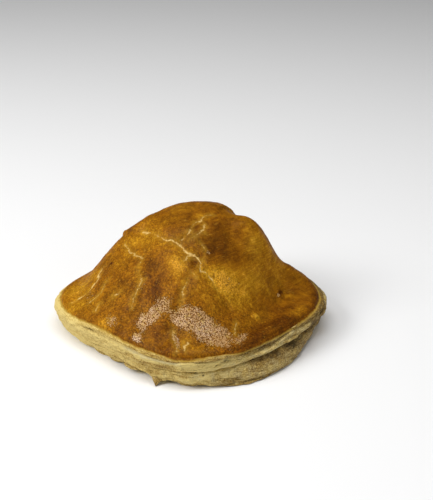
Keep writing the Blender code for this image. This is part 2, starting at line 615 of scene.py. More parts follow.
class SharedGroups:
    """Builds each shared node group once. A cell is a pattern's size in millimetres."""

    BROAD_CELL = 11.0
    FINE_CELL = 1.5
    WRINKLE_CELL = 0.5
    WRINKLE_SHARE = 0.45
    STREAK_STRETCH = (0.3, 0.3, 2.2)
    FIBRE_STRETCH = (0.55, 0.55, 2.4)
    STREAK_CELL = 1.0
    FIBRE_CELL = 0.8
    CRUMB_CELL = 0.6
    # Streaks, fibres and crumbs, then the cells and shares of two broader patterns.
    TOAST_SHARES = (0.9, 0.9, 1.8)
    BROAD_TOAST = ((1.8, 0.5), (9.0, 0.3))
    ASH_CELL = 2.6
    ASH_SHARE = 2.0
    FIBRE_HEIGHT = 0.8

    @staticmethod
    def fetch(kind: Group) -> Tree:
        """The node group of this kind, built when it is first asked for."""
        tree = bpy.data.node_groups.get(kind.value)
        if tree is None:
            tree = bpy.data.node_groups.new(kind.value, "ShaderNodeTree")
            builders = {
                Group.MOTTLE: SharedGroups.mottle,
                Group.GRAIN: SharedGroups.grain,
                Group.LAYERS: SharedGroups.layers,
            }
            builders[kind](tree)
        return tree

    @staticmethod
    def start(tree: Tree, going_in: tuple[str, ...]) -> tuple[Nodes, Node]:
        """Name the numbers that go into a group, and give its nodes and its input."""
        for name in going_in:
            tree.interface.new_socket(name, in_out="INPUT", socket_type="NodeSocketFloat")
        nodes = Nodes(tree)
        return nodes, nodes.add("NodeGroupInput")

    @staticmethod
    def end(nodes: Nodes, **results: Feed) -> None:
        """Name the numbers that come out of a group, and join them."""
        for name in results:
            nodes.tree.interface.new_socket(name, in_out="OUTPUT", socket_type="NodeSocketFloat")
        node = nodes.add("NodeGroupOutput")
        for name, value in results.items():
            nodes.feed(node.inputs[name], value)

    @staticmethod
    def mottle(tree: Tree) -> None:
        """Uneven browning, broad and fine. Its input Size scales the pattern."""
        own = SharedGroups
        nodes, start = own.start(tree, ("Size",))
        spot = nodes.scaled(nodes.place(), start.outputs["Size"])
        cells = (own.BROAD_CELL, own.FINE_CELL)
        broad, fine = (nodes.noise(cell, detail=3.0, place=spot) for cell in cells)
        own.end(nodes, Broad=broad, Fine=fine)

    @staticmethod
    def grain(tree: Tree) -> None:
        """The tight wrinkles of a glaze that dried while the pastry under it grew.

        Args:
            tree: the empty group to fill. Its input Cell is the grain's size in millimetres.
        """
        nodes, start = SharedGroups.start(tree, ("Cell",))
        scale = nodes.maths("DIVIDE", 1.0 / MILLIMETRE, start.outputs["Cell"])
        feeds = {"Vector": nodes.place(), "Scale": scale, "Detail": 1.0}
        coarse = nodes.add("ShaderNodeTexNoise", feeds).outputs["Fac"]
        fine = nodes.noise(SharedGroups.WRINKLE_CELL)
        height = nodes.maths("MULTIPLY_ADD", fine, SharedGroups.WRINKLE_SHARE, coarse)
        SharedGroups.end(nodes, Height=height)

    @staticmethod
    def layers(tree: Tree) -> None:
        """The fine layers and fibres of pastry that the glaze didn't reach.

        Args:
            tree: the empty group to fill. Toast and Ash are added to numbers kept on the piece.
        """
        own = SharedGroups
        nodes, _ = own.start(tree, ())
        streak = nodes.noise(own.STREAK_CELL, detail=3.0, place=nodes.stretched(own.STREAK_STRETCH))
        fibre = nodes.noise(own.FIBRE_CELL, detail=2.0, place=nodes.stretched(own.FIBRE_STRETCH))
        crumb = nodes.noise(own.CRUMB_CELL, detail=3.0)
        toast = nodes.pile(0.0, zip((streak, fibre, crumb), own.TOAST_SHARES))
        broad = ((nodes.noise(cell, detail=3.0), share) for cell, share in own.BROAD_TOAST)
        toast = nodes.pile(toast, broad)
        ash = nodes.plus(0.0, nodes.noise(own.ASH_CELL, detail=3.0), own.ASH_SHARE)
        height = nodes.maths("MULTIPLY_ADD", fibre, own.FIBRE_HEIGHT, crumb)
        own.end(nodes, Toast=toast, Ash=ash, Height=height)


@dataclass(frozen=True)
class Finish:
    """What every finish of the pie has: a name and a material made of nodes."""

    name: str

    def group(self, nodes: Nodes, kind: Group, **values: float) -> Node:
        """A shared node group placed in the material, with its own values."""
        node = nodes.add("ShaderNodeGroup", node_tree=SharedGroups.fetch(kind))
        for name, value in values.items():
            node.inputs[name.capitalize()].default_value = value
        return node

    def bump(self, nodes: Nodes, shader: Node, height: Feed, depth: float) -> None:
        """Fine relief, so many millimetres deep, on the shader's normal."""
        feeds = {"Height": height, "Strength": 1.0, "Distance": depth * MILLIMETRE}
        nodes.feed(shader.inputs["Normal"], nodes.add("ShaderNodeBump", feeds).outputs["Normal"])

    def settle(self, shader: Node, **values: float) -> None:
        """Plain values on the shader's own sockets, named with _ for each space."""
        for name, value in values.items():
            shader.inputs[name.replace("_", " ")].default_value = value

    def material(self) -> bpy.types.Material:
        """The finished material."""
        material = bpy.data.materials.new(self.name)
        material.use_nodes = True
        nodes = Nodes(material.node_tree)
        self.dress(nodes, material.node_tree.nodes["Principled BSDF"])
        return material

    def dress(self, nodes: Nodes, shader: Node) -> None:
        """Join the finish's patterns to the shader. Each kind of finish has its own."""
        raise NotImplementedError


@dataclass(frozen=True)
class FloorFinish(Finish):
    """A plain, pale, matt floor."""

    name: str = "floor"
    colour: Colour = (0.88, 0.88, 0.88)
    roughness: float = 0.9

    def dress(self, nodes: Nodes, shader: Node) -> None:
        """One colour, without gloss."""
        nodes.feed(shader.inputs["Base Color"], self.colour)
        self.settle(shader, Roughness=self.roughness, Specular_IOR_Level=0.0)


@dataclass(frozen=True)
class DryPastry:
    """The colours of pastry that the glaze didn't reach: two rows, from raw cream to browned."""

    warm: tuple[Colour, ...] = (
        (0.72, 0.55, 0.19),
        (0.52, 0.355, 0.095),
        (0.36, 0.215, 0.045),
        (0.17, 0.09, 0.018),
    )
    cool: tuple[Colour, ...] = (
        (0.64, 0.52, 0.24),
        (0.44, 0.325, 0.125),
        (0.29, 0.195, 0.07),
        (0.13, 0.085, 0.025),
    )
    places: Row = (0.0, 0.35, 0.68, 1.0)

    def colour(self, nodes: Nodes, layers: Node) -> Socket:
        """The pastry's colour, from its layers and the numbers kept on the piece.

        Args:
            nodes: the tree it is made in.
            layers: the layers' group, whose Toast browns it and whose Ash makes it greyer.

        Returns:
            The colour's socket.
        """
        toast = nodes.maths("ADD", nodes.number("toast"), layers.outputs["Toast"])
        ash = nodes.maths("ADD", nodes.number("ash"), layers.outputs["Ash"])
        warm, cool = (nodes.ramp(toast, zip(self.places, row)) for row in (self.warm, self.cool))
        return nodes.mix(nodes.between(ash, 0.0, 1.0), warm, cool)


@dataclass(frozen=True)
class CutPastryFinish(Finish):
    """The cut side of a sheet: dry layers, paler where they stand out and darker in the hollows as painted
    highlight and shade, with painted shade darkening the gaps.
    """

    name: str = "cut pastry"
    pastry: DryPastry = field(default_factory=DryPastry)
    gap: Colour = (0.10, 0.066, 0.018)
    gap_cell: float = 1.2
    gap_span: Span = (0.25, 1.1)
    roughness: float = 0.75
    specular: float = 0.25
    grain_depth: float = 0.6

    def dress(self, nodes: Nodes, shader: Node) -> None:
        """Layers by height and place, with the numbers kept on the piece.

        Args:
            nodes: the material's tree.
            shader: its Principled shader.
        """
        layers = self.group(nodes, Group.LAYERS)
        # Painted shade: slits, pits and the seam are darkened towards a near-black brown.
        gap = nodes.plus(nodes.number("gap"), nodes.noise(self.gap_cell, detail=3.0), 1.0)
        gap = nodes.between(gap, *self.gap_span)
        colour = nodes.mix(gap, self.pastry.colour(nodes, layers), self.gap)
        nodes.feed(shader.inputs["Base Color"], colour)
        self.settle(shader, Roughness=self.roughness, Specular_IOR_Level=self.specular)
        self.bump(nodes, shader, layers.outputs["Height"], self.grain_depth)


@dataclass(frozen=True)
class GlazedCrustFinish(Finish):
    """Egg-glazed crust: golden to dark brown, glossy in patches with glints painted into its colour as
    highlights, torn to pale pastry in cracks.

    A cell is a pattern's size in millimetres, a share is how much of it counts, and a span runs from
    where a thing begins to where it is complete.
    """

    name: str = "glazed crust"
    pale: Colour = (0.58, 0.282, 0.024)
    golden: Colour = (0.43, 0.198, 0.008)
    amber: Colour = (0.275, 0.106, 0.003)
    brown: Colour = (0.165, 0.055, 0.0015)
    dark: Colour = (0.08, 0.023, 0.001)
    shade_places: Row = (0.0, 0.2, 0.45, 0.72, 1.0)
    # Pink and golden glint colours painted into the glaze where it sparkles: painted highlights.
    pink_glint: Colour = (0.56, 0.325, 0.135)
    golden_glint: Colour = (0.56, 0.34, 0.085)
    halo: Colour = (0.50, 0.28, 0.022)
    reddish: Colour = (1.015, 0.98, 0.94)
    olive: Colour = (0.99, 1.02, 0.98)
    edge: Colour = (0.42, 0.26, 0.040)
    torn: Colour = (0.70, 0.47, 0.16)
    pastry: DryPastry = field(default_factory=DryPastry)
    roughness: float = 0.6
    specular: float = 0.05
    coat: float = 0.45
    thin_coat: float = 0.02
    coat_roughness: float = 0.2
    brushed_cell: float = 1.2
    brushed_stretch: Colour = (0.2, 0.2, 2.0)
    running_cell: float = 1.3
    running_stretch: Colour = (1.0, 1.0, 0.3)
    blotch_cell: float = 4.5
    # Shares of the broad mottle, the blotches, the streaks and the fine mottle.
    bake_shares: Row = (0.55, 0.6, 0.8, 0.5)
    pale_streak: Span = (0.58, 0.74)
    pale_streak_share: float = 0.4
    hue_cell: float = 9.0
    hue_span: Span = (0.38, 0.62)
    # Specks lighten and darken the colour in fine spots, painting tiny glints and the shade of fine wrinkles:
    # more where the glaze is glossy, less where it is brushed.
    speck_cell: float = 0.7
    speck_share: float = 2.0
    speck_share_of_gloss: float = 2.2
    speck_share_of_brushed: float = -1.1
    most_gloss_for_specks: float = 0.6
    # Shares of the blotches and the fine mottle.
    gloss_shares: Row = (1.6, 0.9)
    gloss_span: Span = (0.3, 1.35)
    sparkle_cell: float = 0.55
    # The sparkle: spots of the glossy patches where the coat shines and a highlight colour is painted in.
    sparkle_share_of_gloss: float = 0.28
    sparkle_span: Span = (0.66, 0.84)
    first_sparkle: Span = (0.0, 0.3)
    pink_cell: float = 2.5
    pink_patch: Span = (0.3, 0.5)
    pink_span: Span = (0.3, 0.9)
    glint_paint_share: float = 0.95
    # How much painted shade darkens the pits between the glints.
    pit_shade_share: float = 0.3
    crack_cell: float = 0.9
    crack_share: float = 1.6
    halo_cell: float = 3.0
    halo_wander: float = 4.0
    halo_span: Span = (2.6, -0.6)
    halo_share: float = 0.35
    torn_span: Span = (0.35, -0.5)
    border_cell: float = 3.5
    border_wander: float = 2.4
    border_share_of_toast: float = -0.5
    edge_span: Span = (-1.7, 0.0)
    bare_span: Span = (-0.5, 0.8)
    grain_cell: float = 0.9
    grain_depth: float = 0.12
    pit_depth: float = 0.2
    layer_depth: float = 0.3

    def dress(self, nodes: Nodes, shader: Node) -> None:
        """Browning, glossy patches with painted glints and painted shade, cracks and the bare edge, with the
        numbers kept on the piece.

        Args:
            nodes: the material's tree.
            shader: its Principled shader.
        """
        mottle = self.group(nodes, Group.MOTTLE, size=1.0)
        layers = self.group(nodes, Group.LAYERS)
        colour = self.browning(nodes, mottle)
        colour, glint, pit = self.patches(nodes, mottle.outputs["Fine"], colour)
        colour, torn = self.tears(nodes, colour)
        colour, bare = self.border(nodes, layers, colour)
        nodes.feed(shader.inputs["Base Color"], colour)
        left = nodes.maths("SUBTRACT", self.coat, nodes.maths("MAXIMUM", torn, bare))
        coat = nodes.maths("MAXIMUM", nodes.times(glint, left), self.thin_coat)
        nodes.feed(shader.inputs["Coat Weight"], coat)
        self.settle(shader, Coat_Roughness=self.coat_roughness)
        self.settle(shader, Roughness=self.roughness, Specular_IOR_Level=self.specular)
        grain = self.group(nodes, Group.GRAIN, cell=self.grain_cell)
        height = nodes.times(grain.outputs["Height"], self.grain_depth)
        height = nodes.maths("MULTIPLY_ADD", pit, -self.pit_depth, height)
        flaky = nodes.times(bare, layers.outputs["Height"])
        height = nodes.maths("MULTIPLY_ADD", flaky, self.layer_depth, height)
        self.bump(nodes, shader, height, 1.0)

    def browning(self, nodes: Nodes, mottle: Node) -> Socket:
        """The glaze's colour: browning, paler streaks, a change of hue, and specks of painted glint and shade.

        Args:
            nodes: the material's tree.
            mottle: the mottle's group.

        Returns:
            The colour.
        """
        place = nodes.stretched(self.brushed_stretch)
        brushed = nodes.noise(self.brushed_cell, detail=3.0, place=place)
        place = nodes.stretched(self.running_stretch)
        running = nodes.noise(self.running_cell, detail=3.0, place=place)
        streak = nodes.blend(nodes.number("brushed"), running, brushed)
        blotch = nodes.noise(self.blotch_cell, detail=5.0)
        patterns = (mottle.outputs["Broad"], blotch, streak, mottle.outputs["Fine"])
        bake = nodes.pile(nodes.number("bake"), zip(patterns, self.bake_shares))
        shades = (self.pale, self.golden, self.amber, self.brown, self.dark)
        colour = nodes.ramp(bake, zip(self.shade_places, shades))
        paler = nodes.times(nodes.between(streak, *self.pale_streak), self.pale_streak_share)
        colour = nodes.mix(paler, colour, self.pale)
        hue = nodes.between(nodes.noise(self.hue_cell, detail=4.0), *self.hue_span)
        feeds = {0: colour, 1: nodes.mix(hue, self.reddish, self.olive)}
        colour = nodes.add("ShaderNodeVectorMath", feeds, operation="MULTIPLY").outputs["Vector"]
        # Specks: painted glints and painted wrinkle shade, stronger where the glaze is glossy.
        gloss = nodes.maths("MINIMUM", nodes.number("gloss"), self.most_gloss_for_specks)
        share = nodes.maths("MULTIPLY_ADD", gloss, self.speck_share_of_gloss, self.speck_share)
        brushed = nodes.number("brushed")
        share = nodes.maths("MULTIPLY_ADD", brushed, self.speck_share_of_brushed, share)
        speck = nodes.maths("SUBTRACT", nodes.noise(self.speck_cell, detail=3.0), 0.5)
        return nodes.scaled(colour, nodes.maths("MULTIPLY_ADD", speck, share, 1.0))

    def patches(self, nodes: Nodes, fine: Socket, colour: Socket) -> tuple[Socket, Socket, Socket]:
        """The patches of wrinkled, sparkling glaze: their glints are painted into the colour as highlights, and
        the pits between them are darkened as painted shade.

        Args:
            nodes: the material's tree.
            fine: the fine mottle.
            colour: the glaze's colour.

        Returns:
            The new colour, how much each place glints, and how much of a pit it is.
        """
        patterns = (nodes.noise(self.blotch_cell, detail=5.0), fine)
        gloss = nodes.pile(nodes.number("gloss"), zip(patterns, self.gloss_shares))
        gloss = nodes.between(gloss, *self.gloss_span)
        sparkle = nodes.noise(self.sparkle_cell, detail=2.5)
        sparkle = nodes.maths("MULTIPLY_ADD", gloss, self.sparkle_share_of_gloss, sparkle)
        sparkle = nodes.between(sparkle, *self.sparkle_span)
        shine = nodes.times(sparkle, nodes.between(gloss, *self.first_sparkle))
        pit = nodes.maths("SUBTRACT", gloss, shine)
        pink = nodes.between(nodes.noise(self.pink_cell, detail=4.0), *self.pink_patch)
        pink = nodes.times(pink, nodes.between(gloss, *self.pink_span))
        glint_colour = nodes.mix(pink, self.golden_glint, self.pink_glint)
        # Painted highlight: the sparkling spots take a pink or golden glint colour.
        colour = nodes.mix(nodes.times(shine, self.glint_paint_share), colour, glint_colour)
        # Painted shade: the pits between the glints are darkened.
        colour = nodes.mix(nodes.times(pit, self.pit_shade_share), colour, self.dark)
        return colour, nodes.times(shine, gloss), pit

    def tears(self, nodes: Nodes, colour: Socket) -> tuple[Socket, Socket]:
        """Pale torn pastry in the cracks, with lighter glaze beside them.

        Args:
            nodes: the material's tree.
            colour: the glaze's colour.

        Returns:
            The new colour, and how torn each place is.
        """
        crack = nodes.noise(self.crack_cell, detail=3.0)
        crack = nodes.plus(nodes.number("crack"), crack, self.crack_share)
        halo = nodes.plus(crack, nodes.noise(self.halo_cell), self.halo_wander)
        halo = nodes.times(nodes.between(halo, *self.halo_span), self.halo_share)
        torn = nodes.between(crack, *self.torn_span)
        return nodes.mix(torn, nodes.mix(halo, colour, self.halo), self.torn), torn

    def border(self, nodes: Nodes, layers: Node, colour: Socket) -> tuple[Socket, Socket]:
        """The edge, where the glaze thins out and dry pastry shows.

        Args:
            nodes: the material's tree.
            layers: the layers' group.
            colour: the crust's colour inside the edge.

        Returns:
            The new colour, and how bare each place is.
        """
        border = nodes.noise(self.border_cell, detail=5.0)
        border = nodes.plus(nodes.number("bare"), border, self.border_wander)
        toast = nodes.times(layers.outputs["Toast"], self.border_share_of_toast)
        border = nodes.maths("ADD", border, toast)
        colour = nodes.mix(nodes.between(border, *self.edge_span), colour, self.edge)
        bare = nodes.between(border, *self.bare_span)
        return nodes.mix(bare, colour, self.pastry.colour(nodes, layers)), bare


# ---- The crust ----


@dataclass(frozen=True)
class Crust:
    """The glazed upper face, from the dome's peak over the rolled edge to its ragged lip."""

    form: PieForm
    finish: GlazedCrustFinish = field(default_factory=GlazedCrustFinish)
    grid_points: int = 309
    directions: int = 720
    flat_points: int = 170
    roll_points: int = 24
    skirt_points: int = 17
    levels: int = 361
    rim_points: int = 401
    skirt: Row = (2.0, 1.5, 1.3, 1.3, 1.8, 2.8, 1.9, 1.7)
    skirt_wander: float = 0.6
    skirt_cell: float = 9.0
    skirt_seed: int = 11
    corner_pull: float = 0.195
    cracks: tuple[Line, ...] = (
        Line(((-18, -15.5), (-15, -15.5), (-11, -16), (-7, -16)), 0.1, 0.25),
        Line(((-7, -16), (-4, -16), (-0.5, -16)), 0.25, 0.4),
        Line(((-0.5, -16), (2.5, -14.5), (5.5, -13.5), (10.5, -13), (13, -13), (15, -12)), 0.5, 0.5),
        Line(((15, -12), (17.5, -11), (19.5, -11), (21, -13), (22.5, -14)), 0.25, 0.4),
        Line(((22.5, -14), (24, -12.5), (26.5, -12), (31, -12)), 0.1, 0.3),
        Line(((6.5, -12.5), (6, -9.5), (6.5, -7), (6.5, -5)), 0.25, 0.3),
        Line(((6.5, -5), (5, -2.5), (4.5, 0), (5, 3), (4, 6.5), (4.5, 10.5)), 0.2, 0.25),
        Line(((8, -8.5), (9.5, -6), (10, -3), (10, 0), (8.5, 2)), 0.05, 0.15),
        Line(((15, -12), (14, -14.5), (14, -17.5)), 0, 0.15),
        Line(((13, -5.5), (16.5, -6), (18.5, -8), (19.5, -11)), -0.1, 0.1),
        Line(((20.5, -19), (22.5, -18)), 0.05, 0.1),
        Line(((21, -21), (22, -23), (22.5, -26.5), (23.5, -28), (25, -29.5), (27, -32)), -0.05, 0.15),
        Line(((-23, -23), (-18, -24.5), (-13.5, -26), (-10, -27), (-4.5, -27.5)), 0.15, 0.3),
        Line(((-4.5, -27.5), (-4, -30), (-2.5, -32), (2.5, -33.5)), 0.05, 0.2),
        Line(((1, -33.5), (3, -34), (3.5, -37.5), (4.5, -40.5), (4, -42), (7, -44.5)), 0.15, 0.3),
        Line(((-29.5, -33), (-30, -35), (-27, -37), (-27, -42)), 0.45, 0.3),
        Line(((-27, -42), (-29, -46), (-32, -51)), 0.05, 0.2),
        Line(((-18.5, -38.5), (-17.5, -41), (-16.5, -44), (-18.5, -46.5), (-20, -49.5)), 0.05, 0.2),
        Line(((-12.5, -49), (-12.5, -50.5), (-11, -52)), 0.2, 0.2),
        Line(((-7.5, -44), (-5, -42.5)), 0, 0.1),
        Line(((30.5, -40.5), (34.5, -43), (39, -45.5)), 0, 0.2),
        Line(((39.5, -40), (41, -43.5)), 0.2, 0.2),
        Line(((45, -13.5), (49, -18.5)), 0, 0.15),
    )
    creases: tuple[Line, ...] = (
        Line(((-28, -15), (-7, -16), (10, -13.5), (20, -11.5), (38, -12)), 2.6, 0.8),
        Line(((6, 6), (5.5, 0), (7.5, -8.5), (7, -13)), 2.2, 0.15),
        Line(((19, -15), (22, -22), (23.5, -28), (28, -34), (29.5, -41), (31.5, -49)), 2.6, 0.7),
        Line(((-24, -22.5), (-6, -27), (-2, -33.5), (4, -39), (7, -44.5)), 2.2, 0.5),
        Line(((-30, -34), (-26.5, -41), (-31, -51)), 2.2, 0.4),
    )
    bumps: tuple[Oval, ...] = (
        Oval(37.5, 25.5, 5, 2.8, -45, 1),
        Oval(37.5, 25.5, 2.6, 1.5, -45, -1),
        Oval(46, -1, 3, 2.4, 45, 0.7),
        Oval(13.5, -22, 9, 6, -20, 0.6),
        Oval(-23.5, -31, 0.8, 0.6, 0, -0.6),
    )
    ledges: tuple[Ledge, ...] = (
        Ledge((3.5, 13), (-3, 38), 1.3, 8, 0.8),
        Ledge((-35, -15), (-19, -17.5), 1.8, 8, 0.8),
    )
    # Each layer of noise has a cell in millimetres and a share. The lumps' layers have a seed too.
    lumps: tuple[tuple[float, float, int], ...] = ((9.0, 0.30, 21), (2.4, 0.07, 31))
    sway_layers: tuple[Span, ...] = ((4.5, 0.6), (1.8, 0.4))
    bend_seed: int = 35
    jag_seed: int = 41
    swell_seed: int = 47
    swell_cell: float = 3.0
    crack_swell: float = 0.4
    least_crack_width: float = 0.5
    far_from_cracks: float = 9.0
    relief_fade: float = 5.0
    rim_width: float = 6.0
    base_bake: float = 0.56
    # Patches where the glaze is browner or paler. Most are browning; the large paler ones at (30, -6) and (31.5,
    # 11) lighten the right lobe's ridge and flank, which face away from the key lamp: partly painted light.
    browning_and_painted_light: tuple[Oval, ...] = (
        Oval(19, 2, 14, 10.5, 68, 0.24),
        Oval(53, -4, 13, 6.5, 80, 0.38),
        Oval(54, 7, 12, 6, 80, 0.42),
        Oval(17.3, -12.6, 6, 4, -45, 0.36),
        Oval(12.5, -21, 11, 7.5, -5, -0.42),
        Oval(30, -6, 18, 13, 45, -0.5),
        Oval(31.5, 11, 13, 9, 70, -0.32),
        Oval(28, -21, 9, 7, 0, -0.12),
        Oval(6, -38, 24, 14, 30, 0.09),
        Oval(2, -5, 18, 14, 0, 0.1),
        Oval(16, 2, 12, 9, 60, 0.12),
        Oval(7, -30, 12, 8, 0, 0.12),
        Oval(13, -35, 9, 6, -45, 0.12),
        Oval(-1, -54, 10, 5, 10, -0.32),
        Oval(11, 7.5, 9, 7, 60, 0.14),
        Oval(7, 1, 7, 6, 0, 0.05),
        Oval(17, -5.5, 7, 5, 0, 0.18),
        Oval(20.5, -21.5, 6, 4, 0, 0.14),
        Oval(-16, -14, 15, 8, 10, 0.04),
        Oval(23, -3, 8, 6, 60, 0.1),
        Oval(20.5, -9, 8, 5, 30, 0.12),
        Oval(45, -5, 11, 8, 45, -0.1),
        Oval(50, 21, 9, 5, 105, 0.16),
        Oval(12, -48, 8, 7, 0, 0.12),
        Oval(33, -42, 7, 4, 0, 0.14),
        Oval(40, -44.5, 8, 3.5, 45, 0.1),
        Oval(55, -13, 11, 5, 80, 0.22),
        Oval(35, 7, 7, 4.5, 60, -0.1),
        Oval(36, 0.5, 6, 4.5, 60, -0.14),
        Oval(31, -19.5, 7, 5, 0, -0.14),
        Oval(25.5, -40, 9, 4, 95, 0.12),
        Oval(30, -47, 9, 5, 20, 0.16),
        Oval(48, 16, 11, 6, 80, 0.24),
        Oval(26, 26, 15, 10, 60, -0.34),
        Oval(-15, -50, 10, 5, -10, -0.16),
        Oval(54, 24, 12, 6, 105, -0.16),
        Oval(-18, -20, 26, 13, 15, -0.2),
        Oval(-36, -42, 28, 13, -45, -0.28),
        Oval(33, -37, 36, 15, 37, 0.04, 0.5),
        Oval(46, -39, 8, 4, 37, -0.16),
        Oval(37.5, 25.5, 5, 2.8, -45, 0.4),
        Oval(37, 26.5, 2.2, 1.3, -45, 0.3),
        Oval(46, -1, 3.4, 2.6, 45, -0.35),
        Oval(-24, -31, 1, 0.7, 0, 0.9),
        Oval(-17, -31.5, 7, 5, 0, -0.14),
    )
    # Where the glaze is glossy: its coat shines there, and glints are painted into its colour there as
    # highlights.
    glossy: tuple[Oval, ...] = (
        Oval(20, -38, 9.5, 6.4, 80, 1.6, 1),
        Oval(17.5, -46, 9, 7, 75, 1.4, 1),
        Oval(19.5, -52.5, 5.5, 3, 0, 1.3, 0.8),
        Oval(31.5, -32, 11.5, 8.5, 50, 1.8, 1),
        Oval(44, -27.5, 18, 12, 22, 2.1, 1),
        Oval(27.5, -36.5, 6, 4.5, 60, 0.9, 1),
        Oval(35, -42.5, 8, 2.4, -25, 1.15, 0.7),
        Oval(52.7, -16.5, 8.5, 4.2, 105, 1.25, 1),
        Oval(1, -52.5, 10, 5, 0, 1.1, 1),
        Oval(8, -40, 26, 14, 20, 0.35, 0.8),
        Oval(4.5, -35.5, 6, 4.5, 0, 0.6, 1),
        Oval(-22, -45, 13, 8, -60, 0.75, 1),
        Oval(31, -5, 15, 9, 45, 0.75, 1),
        Oval(21, -12.5, 4, 3, 0, 0.5, 0.6),
        Oval(38.5, 23, 2.2, 1.2, -45, 1.2, 0.6),
        Oval(18, -5.2, 1.6, 1.2, 0, 1.3, 0.6),
    )
    brushed: tuple[Oval, ...] = (
        Oval(30, 20, 36, 28, 60, 1, 0.5),
        Oval(-6, 10, 30, 26, 0, 0.8, 0.5),
    )
    bared: tuple[Oval, ...] = (
        Oval(49.5, -38, 14, 3.2, 48, 3, 1),
        Oval(55.5, -31, 10, 3.2, 62, 3.2, 1),
        Oval(31, -53, 15, 3, 15, 2.2, 1),
    )
    bare_inside: Row = (-2.4, -0.6, 0.0, 0.0, 0.0, -1.0, -0.4, -2.0)
    bare_fade: Row = (0.6, 0.9, 1.2, 1.2, 1.2, 0.9, 0.8, 0.6)
    # The bare edge's browning and greyness round the pie, as on the cut sides: darker and greyer at the right,
    # which faces away from the key lamp; partly the pastry's own colour, partly painted shade.
    rim_toast: Row = (0.62, 0.95, 0.5, 0.4, 0.3, 0.05, 0.3, 0.6)
    rim_ash: Row = (0.6, 0.5, 0.3, 0.2, 0.0, -0.5, -0.3, 0.4)
    rim_bake: Row = (0.25, 0.28, 0.1, 0.1, 0.0, -0.1, 0.05, 0.15)

    def profiles(self) -> tuple[Array, ...]:
        """Sections through the crust in many directions, at equal steps along the surface.

        Returns:
            Reach, height and distance inside the edge, one row for each direction.
        """
        form = self.form
        direction = np.linspace(0.0, math.tau, self.directions, endpoint=False)[:, None]
        reach = form.measure("crust_reach", direction)
        flat = np.linspace(0.0, 1.0, self.flat_points)[None, :-1] * (reach - form.edge_roll_width)
        turn = np.linspace(0.0, math.pi / 2, self.roll_points)[None, :]
        upper = np.hstack([flat, reach - form.edge_roll_width * (1 - np.sin(turn))])
        height = form.top(upper * np.cos(direction), upper * np.sin(direction))
        height[:, flat.shape[1]:] -= form.edge_roll * (1 - np.cos(turn))
        skirt_reach, skirt_height = self.hang(direction, reach, height[:, -1:])
        reaches = np.hstack([upper, skirt_reach])
        heights = np.hstack([height, skirt_height])
        steps = np.hypot(np.diff(reaches, axis=1), np.diff(heights, axis=1))
        along = np.hstack([0 * reach, np.cumsum(steps, axis=1)])
        wanted = np.linspace(0.0, 1.0, self.levels) * along[:, -1:]
        even = [
            np.stack([np.interp(*row) for row in zip(wanted, along, part)]) for part in (reaches, heights)
        ]
        edge = along[:, upper.shape[1] - 1, None] - wanted
        return even[0], even[1], edge

    def hang(self, direction: Array, reach: Array, edge_height: Array) -> tuple[Array, Array]:
        """The skirt that hangs from the crust's edge down the cut side, to a wandering lip.

        Args:
            direction: angles round the pie, one row each.
            reach: the crust's reach in each direction.
            edge_height: the height of its edge in each direction.

        Returns:
            The skirt's reaches and heights.
        """
        ring = around(direction, reach, 0 * reach)[:, 0]
        wander = layered_noise(ring, self.skirt_cell, self.skirt_seed)[:, None]
        depth = round_the_pie(self.skirt, direction) + self.skirt_wander * wander
        seam_height = self.form.measure("seam_height", direction)
        down = np.linspace(0.0, 1.0, self.skirt_points)[None, 1:]
        share = 1 - down * depth / (edge_height - seam_height)
        skirt_reach, _ = self.form.wall(direction, share, True)
        return skirt_reach, seam_height + (edge_height - seam_height) * share

    def read(self, table: Array, direction: Array, level: Array) -> Array:
        """A value from a table of profiles, blended between its rows and columns.

        Args:
            table: one row for each direction and one column for each level.
            direction: angles round the pie.
            level: 0 at the peak and 1 at the lip.

        Returns:
            The value at each place.
        """
        row = np.mod(direction, math.tau) / math.tau * len(table)
        column = np.clip(level, 0.0, 1.0) * (table.shape[1] - 1)
        row_low = np.floor(row).astype(int)
        column_low = np.minimum(np.floor(column).astype(int), table.shape[1] - 2)
        across = row - row_low
        down = column - column_low
        row_low = row_low % len(table)
        row_high = (row_low + 1) % len(table)
        low = table[row_low, column_low] * (1 - down) + table[row_low, column_low + 1] * down
        high = table[row_high, column_low] * (1 - down) + table[row_high, column_low + 1] * down
        return low * (1 - across) + high * across

    def spread(self, square: Array) -> tuple[Array, Array]:
        """Turn a square grid's places into directions and levels of the pie.

        Args:
            square: points from -1 to 1.

        Returns:
            The direction, and the level from 0 at the peak to 1 at the lip.
        """
        pull = self.corner_pull
        x = square[:, 0] * (1 - pull * square[:, 1] ** 2)
        y = square[:, 1] * (1 - pull * square[:, 0] ** 2)
        side = np.linspace(-1.0, 1.0, self.rim_points)
        rim_x = 1 - pull * side**2
        rim_y = side * (1 - pull)
        direction = np.arctan2(y, x)
        folded = np.mod(direction + math.pi / 4, math.pi / 2) - math.pi / 4
        rim = np.interp(folded, np.arctan2(rim_y, rim_x), np.hypot(rim_x, rim_y))
        return direction, np.hypot(x, y) / rim

    def sway(self, points: Array, seed: int) -> tuple[Array, ...]:
        """Places of the plan pushed about, so that a line drawn on them turns out jagged.

        Args:
            points: places on the crust.
            seed: which pattern; the next three are used too.

        Returns:
            The pushed places, along X and along Y.
        """
        pushed = [points[:, 0], points[:, 1]]
        for axis in (0, 1):
            layers = enumerate(self.sway_layers, seed + 2 * axis)
            push = sum(share * noise(points, cell, own) for own, (cell, share) in layers)
            pushed[axis] = pushed[axis] + push
        return tuple(pushed)

